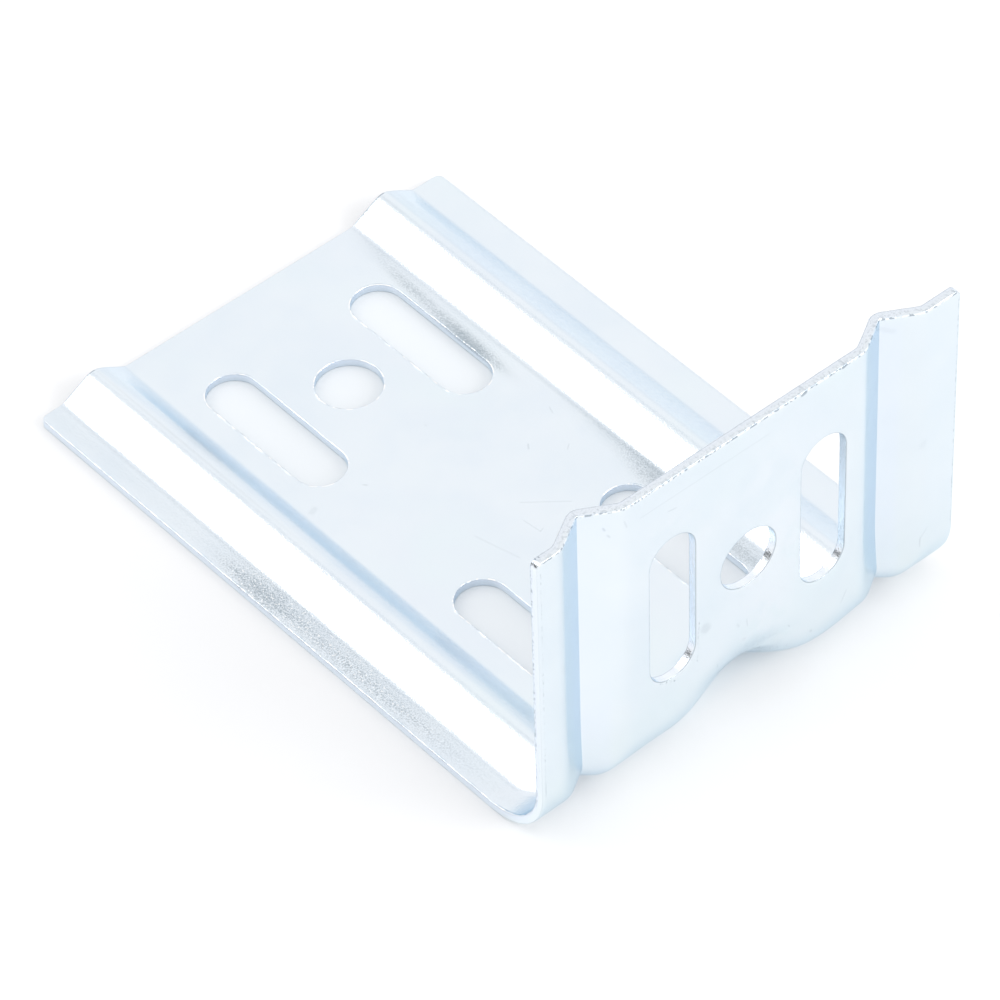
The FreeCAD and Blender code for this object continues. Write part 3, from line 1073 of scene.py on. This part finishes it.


# %% [markdown]
# ## Grains in the painted dark reflection
#
# Close up, the painted dark reflection is a crowd of grey grains with bright gaps. A grey wash
# would look like dust, so a fine noise is added to the painted share, more strongly where the
# share is high and on the near lip, and the sum decides for each grain how grey it is.

# %% Grains in the painted dark reflection
DARK_REFLECTION_ZINC = (0.38, 0.44, 0.49, 1)


def with_dark_reflection(here, colour):
    """Blends in the painted dark reflection by its share plus noise around zero times a contrast.
    """
    specks = here.noise(4200)
    contrast = here.film.ramp(0.10, 0.44, 0.06, 1.0) * here.across.ramp(-37, -33, 1.7, 0.8)
    grey = (here.film + (specks - 0.5) * contrast).ramp(0.0, 1.0)
    return here.tree.blend(grey, colour, DARK_REFLECTION_ZINC)


# %% [markdown]
# ## Scratches, dark rims and painted shade lines
#
# Brackets travel loose in a box and scratch each other. Each scratch here is one straight line
# between two places of the blank. More dark comes from the edges: a thin painted shade line
# where the shoulder begins and one under the burr, the torn top edge, and dots along the sides
# of the short leg. A noise texture could give scratches of the right kind, but not the few long
# ones that the eye remembers, so those are drawn one by one.

# %% Places of the marks
MARKS = [
    # from (along, across) to (along, across), half width, depth of colour; in millimetres
    ((0.1, 24.2), (0.1, 30.2), 0.14, 0.80),
    ((0.1, -35.8), (0.1, -29.8), 0.12, 0.70),
    ((69.8, 9.0), (64.7, 3.0), 0.14, 0.09),
    ((68.0, 0.8), (71.4, 1.2), 0.12, 0.11),
    ((71.4, 1.2), (71.2, 2.0), 0.12, 0.12),
    ((65.4, -7.0), (73.4, -4.9), 0.20, 0.06),
    ((56.0, 12.2), (56.8, 11.6), 0.14, 0.18),
    ((60.3, 16.9), (61.0, 16.0), 0.12, 0.12),
    ((52.2, 20.0), (53.4, 19.6), 0.12, 0.11),
    ((45.4, -12.6), (45.8, -12.2), 0.16, 0.14),
    ((44.2, -21.6), (44.5, -22.4), 0.50, 0.10),
    ((42.0, 3.0), (42.1, 3.1), 0.12, 0.22),
    ((140.2, -8.4), (140.6, -8.7), 0.85, 0.18),
    ((172.9, 4.0), (172.9, -21.0), 0.12, 0.10),
    ((126.4, 36.0), (128.2, 36.1), 0.10, 0.22),
    ((128.2, 36.1), (129.8, 37.4), 0.10, 0.16),
    ((126.4, 18.9), (128.2, 20.0), 0.12, 0.18),
    ((124.0, 13.0), (124.3, 12.8), 0.22, 0.22),
    ((115.2, 17.8), (115.9, 17.0), 0.14, 0.22),
    ((134.9, -0.2), (136.3, -0.3), 0.10, 0.22),
    ((170.2, -14.4), (170.5, -15.8), 0.12, 0.20),
    ((129.6, -5.9), (130.5, -6.1), 0.14, 0.20),
    ((173.1, -26.5), (173.6, -26.7), 0.16, 0.28),
    ((171.6, -25.9), (172.0, -26.1), 0.18, 0.20),
    ((172.8, -23.5), (174.2, -23.9), 0.14, 0.16),
    ((173.9, 31.8), (174.8, 30.2), 0.45, 0.09),
    ((148.4, 36.2), (149.0, 36.4), 0.60, 0.06),
    ((176.4, 10.4), (176.5, 11.0), 0.30, 0.80),
    ((176.5, 18.5), (176.6, 18.9), 0.22, 0.70),
    ((135.9, -1.9), (136.5, -2.2), 0.20, 0.14),
    ((128.0, 8.7), (128.5, 8.4), 0.12, 0.25),
    ((132.1, -0.6), (132.4, -0.9), 0.30, 0.12),
    ((113.1, 27.2), (113.4, 25.8), 0.10, 0.22),
    ((111.0, 23.9), (111.2, 23.6), 0.20, 0.25),
    ((112.3, 24.7), (112.0, 27.0), 0.10, 0.15),
    ((119.8, -1.2), (121.6, -2.2), 0.14, 0.14),
]
DOTTED_MARKS = [
    ((127.0, -40.8), (176.4, -40.8), 0.11, 0.35),
    ((127.0, 41.2), (176.4, 41.2), 0.10, 0.6),
    ((134.5, -10.2), (142.5, -9.9), 0.16, 0.5),
    ((133.2, -14.2), (134.8, -17.6), 0.16, 0.6),
]
TOP_RIM = ((STRIP_TOP - 0.2, -41), (STRIP_TOP - 0.2, 41))
print(len(MARKS), "marks and", len(DOTTED_MARKS), "rows of dots")

# %% Scratches, dark rims and painted shade lines
MARK_ZINC = (0.34, 0.40, 0.46, 1)


def with_marks(here, colour):
    """Blends in the dark of all marks and painted shade lines: the sum of their shares, and no
    more than nine tenths.
    """
    cut, depth, tears = here.cut, here.depth, here.tears
    dots = tears.ramp(0.52, 0.6)
    scratches = here.lines(MARKS)
    dotted = here.lines(DOTTED_MARKS) * dots
    # painted shade lines: where the shoulder begins, and on the wall under the burr
    shoulder = cut.ramp(0.15, 0.4) * cut.ramp(0.5, 0.8, 1, 0) * depth.ramp(0.3, 0.5, 1, 0)
    outline = shoulder * (here.in_middle * 0.6 + 0.1)
    shade_under_burr = cut.ramp(0.8, 0.95) * depth.ramp(0.88, 0.94, 0, 0.30)
    torn = cut.ramp(0.7, 1) * here.at_top * tears.ramp(0.50, 0.70, 0.20, 0.34)
    side_edge = here.along.ramp(118, 126) * here.across.ramp(-40, -39, 1, 0)
    back_edge = cut.ramp(0.8, 0.95) * depth.ramp(0.66, 0.8) * side_edge * dots
    rim = here.line(*TOP_RIM, 0.16) * here.outside * here.streaks.ramp(0.42, 0.47, 1, 0)
    dark = dotted + scratches + outline + shade_under_burr + torn + back_edge * 0.65 + rim * 0.85
    return here.tree.blend(dark.math("MINIMUM", 0.9), colour, MARK_ZINC)


# %% [markdown]
# ## Painted glints
#
# Fine bright dashes run round the holes, where the burr's flank turns to the lamp, and along
# the top edge of the short leg. The geometry alone would draw them as even lines. The finish
# paints white highlights on the burr through a fine noise, which breaks each line into dashes,
# paints a broken white highlight along the top rim, and paints bright sparks into the painted
# dark reflection of the near ridge and lip.

# %% Painted glints
WHITE = (1, 1, 1, 1)


def with_painted_glints(here, colour):
    """Blends in painted white highlights on the burr, on the top rim and on the sparks, each cut
    up by noise.
    """
    cut, across, depth, film = here.cut, here.across, here.depth, here.film
    with_burr = across.ramp(40.4, 40.9, 1, 0) * here.along.ramp(0.6, 1.0)
    on_burr = cut.ramp(0.36, 0.48) * cut.ramp(0.85, 0.95, 1, 0) * depth.ramp(0.97, 1.0)
    # painted highlights: white dashes on the burr, a white line on the top rim, and sparks
    dashes = with_burr * on_burr * here.noise(900, 2.0).ramp(0.49, 0.56)
    rim = here.line(*TOP_RIM, 0.14) * here.outside * here.streaks.ramp(0.50, 0.56)
    near_dark_reflection = film.ramp(0.22, 0.40) * across.ramp(-30, -10, 1, 0)
    sparks = near_dark_reflection * here.tears.ramp(0.60, 0.66) * 0.8
    bright = dashes + rim + sparks
    return here.tree.blend(bright.math("MINIMUM", 1), colour, WHITE)


# %% [markdown]
# ## The whole finish
#
# Each step lies over the one before: plating first, then the painted dark reflection, then wear
# and painted shade lines, then painted highlights.
# The grain of the steel shows through as a very fine unevenness, which only turns the light, and
# the cut walls are a little rougher. Everything is metal, so the shader needs just one colour,
# one roughness and one bump.


# %% The grain under the plating
def grain(here):
    """The grain all over, and on cut walls the tears of the punch, less so on the top edge."""
    torn = here.cut.ramp(0.05, 0.6) * here.tears * (0.05 - here.at_top * 0.04)
    height = here.noise(3000) * 0.045 + torn
    inputs = {"Strength": 1.0, "Distance": MM, "Height": height}
    return here.tree.node("ShaderNodeBump", None, inputs)


# %% Bright zinc
ZINC_EDGE = (0.80, 0.89, 0.955, 1)


def zinc_material():
    """Bright zinc: all the steps above, one over the other."""
    material, tree = new_material("bright_zinc")
    here = Surface(tree)
    colour = plating(here)
    for step in (with_cut_walls, with_outer_face, with_dark_reflection, with_marks, with_painted_glints):
        colour = step(here, colour)
    shader = tree.node("ShaderNodeBsdfPrincipled", None, {
        "Base Color": colour,
        "Metallic": 1.0,
        "Roughness": here.cut.ramp(0.6, 1, 0.2, 0.22),
        "Specular Tint": ZINC_EDGE,
        "Normal": grain(here),
    })
    tree.node("ShaderNodeOutputMaterial", None, {"Surface": shader})
    print(len(tree.nodes), "nodes in the finish")
    return material


strip_mesh.materials.append(zinc_material())

# %% [markdown]
# ## Floor
#
# The bracket lies on white paper, and its metal mirrors that paper, so it must look white to
# the camera and in every reflection. Brighter lamps would do that, but bleach the bracket too.
# The paper has a diffuse colour that takes the shadow, painted greyer near the bracket and
# lighter out to 1.5 m, and a faint glow that only camera, glossy and transmission rays meet
# lifts it to white. Under the long leg, where the paper shows through the slots, it has a
# darker, bluer painted shade, for the little light that comes there off the zinc. Behind the end
# of the long leg the glow is painted stronger, which lifts the shadow of the ridges' ends. The
# disc stands a hair above the ground, so that the rounded lower edges of the sheet press into
# it and no gap shows.

# %% Paper
PAPER = (0.770, 0.754, 0.747, 1)
FAR_PAPER_LIGHTER = (0.92, 0.90, 0.88, 1)
PAPER_SHADE_UNDER_LEG = (0.690, 0.703, 0.716, 1)
GLOW = (0.105, 0.128, 0.150, 1)
GLOW_LIFTING_SHADOW_BEHIND = (0.140, 0.160, 0.180, 1)


def floor_material():
    """Diffuse paper plus a glow as strong as the share of rays that are meant to see it."""
    material, tree = new_material("paper_floor")
    seen_by = ["Is Camera Ray", "Is Glossy Ray", "Is Transmission Ray"]
    seen = sum(tree.node("ShaderNodeLightPath", out=seen_by)).math("MINIMUM", 1)
    spot = tree.node("ShaderNodeTexCoord", out="Object")
    along, across, _ = tree.parts(spot)
    far = tree.vector("LENGTH", spot, out=1)
    # painted light: the paper grows lighter from 0.3 m to 1.5 m out
    colour = tree.blend(far.ramp(0.3, 1.5), PAPER, FAR_PAPER_LIGHTER)
    within = along.ramp(-0.060, -0.055) * along.ramp(0.050, 0.056, 1, 0)
    # painted shade on the paper under the long leg, seen through the slots
    shade_under_leg = across.math("ABSOLUTE").ramp(0.022, 0.030, 1, 0) * within
    colour = tree.blend(shade_under_leg, colour, PAPER_SHADE_UNDER_LEG)
    diffuse = tree.node("ShaderNodeBsdfDiffuse", None, {"Color": colour})
    # painted light: a stronger glow behind the long leg's end lifts its shadow there
    light = tree.blend(along.ramp(-0.064, -0.054, 1, 0), GLOW, GLOW_LIFTING_SHADOW_BEHIND)
    glow = tree.node("ShaderNodeEmission", None, {"Color": light, "Strength": seen})
    both = tree.node("ShaderNodeAddShader", None, [diffuse, glow])
    tree.node("ShaderNodeOutputMaterial", None, {"Surface": both})
    return material


# %% Floor
FLOOR_RADIUS = 6
FLOOR_CORNERS = 64
FLOOR_HEIGHT = 0.06 * MM


def add_floor():
    """A flat disc, far wider than the picture: the cosine and the sine of one full turn."""
    turns = np.linspace(0, 2 * math.pi, FLOOR_CORNERS, endpoint=False)
    level = np.full(FLOOR_CORNERS, FLOOR_HEIGHT)
    edge = np.stack([FLOOR_RADIUS * np.cos(turns), FLOOR_RADIUS * np.sin(turns), level], axis=1)
    mesh = bpy.data.meshes.new("floor")
    mesh.from_pydata(edge.tolist(), [], [list(range(FLOOR_CORNERS))])
    mesh.materials.append(floor_material())
    floor = bpy.data.objects.new("floor", mesh)
    bpy.context.scene.collection.objects.link(floor)
    return floor


floor = add_floor()
print("the floor is", floor.dimensions.x, "m wide")

# %% [markdown]
# ## Light
#
# A bright metal is lit by what it mirrors. The room is white all round, with three soft-edged
# cards in its sky. A small grey one darkens the rounded feet and crests, a wide pale one lies
# where the far slopes of the ridges look, and a black one low on the near side shows only in
# steep edges, which it outlines. The key lamp stands where the near slopes mirror it, so they
# are pure white. The fill lights the paper before the short leg, because that leg's outer face
# mirrors the paper and not the room.

# %% Cards in the room
CARDS = [
    # direction, degrees to its full colour, degrees to its edge, colour
    ((-0.53, 0.17, 0.83), 3, 9, (0.80, 0.83, 0.86, 1)),
    ((-0.53, 0.84, 0.05), 5, 22, (0.92, 0.94, 0.965, 1)),
    ((-0.531, -0.83, 0.12), 9, 15, (0.0, 0.0, 0.0, 1)),
]
ROOM_STRENGTH = 1.04


def light_world():
    """A white room with cards, each full within its inner angle and gone past its outer one.

    The angle to a card's middle is told by its cosine: the way there, dot the card's direction.
    """
    world = bpy.data.worlds.new("studio")
    bpy.context.scene.world = world
    tree = Tree(world)
    way = tree.node("ShaderNodeTexCoord")
    colour = WHITE
    for toward, inner, outer, shade in CARDS:
        near = tree.vector("DOT_PRODUCT", way, tuple(Vector(toward).normalized()), out=1)
        share = near.ramp(math.cos(math.radians(outer)), math.cos(math.radians(inner)))
        colour = tree.blend(share, colour, shade)
    inputs = {"Color": colour, "Strength": ROOM_STRENGTH}
    glow = tree.node("ShaderNodeBackground", None, inputs)
    tree.node("ShaderNodeOutputWorld", None, {"Surface": glow})


light_world()
print(len(CARDS), "cards in the room")


# %% Lamps
def add_lamp(name, stand, width, height, power):
    """A flat rectangular lamp that looks at the object, with its sizes in metres and watts."""
    data = bpy.data.lights.new(name, "AREA")
    data.shape = "RECTANGLE"
    data.size = width
    data.size_y = height
    data.energy = power
    lamp = bpy.data.objects.new(name, data)
    lamp.location = stand
    lamp.rotation_euler = (-Vector(stand)).to_track_quat("-Z", "Y").to_euler()
    bpy.context.scene.collection.objects.link(lamp)
    print(f"the {name} lamp stands {Vector(stand).length:.2f} m away")


add_lamp("key", (-0.82, -0.70, 1.02), width=0.8, height=0.6, power=2.3)
add_lamp("fill", (1.15, 0.55, 0.62), width=1.0, height=0.8, power=9.5)

# %% [markdown]
# ## The view transform
#
# The plain view transform shows every colour as it was written.

# %% Settle the picture
bpy.context.scene.view_settings.view_transform = "Standard"
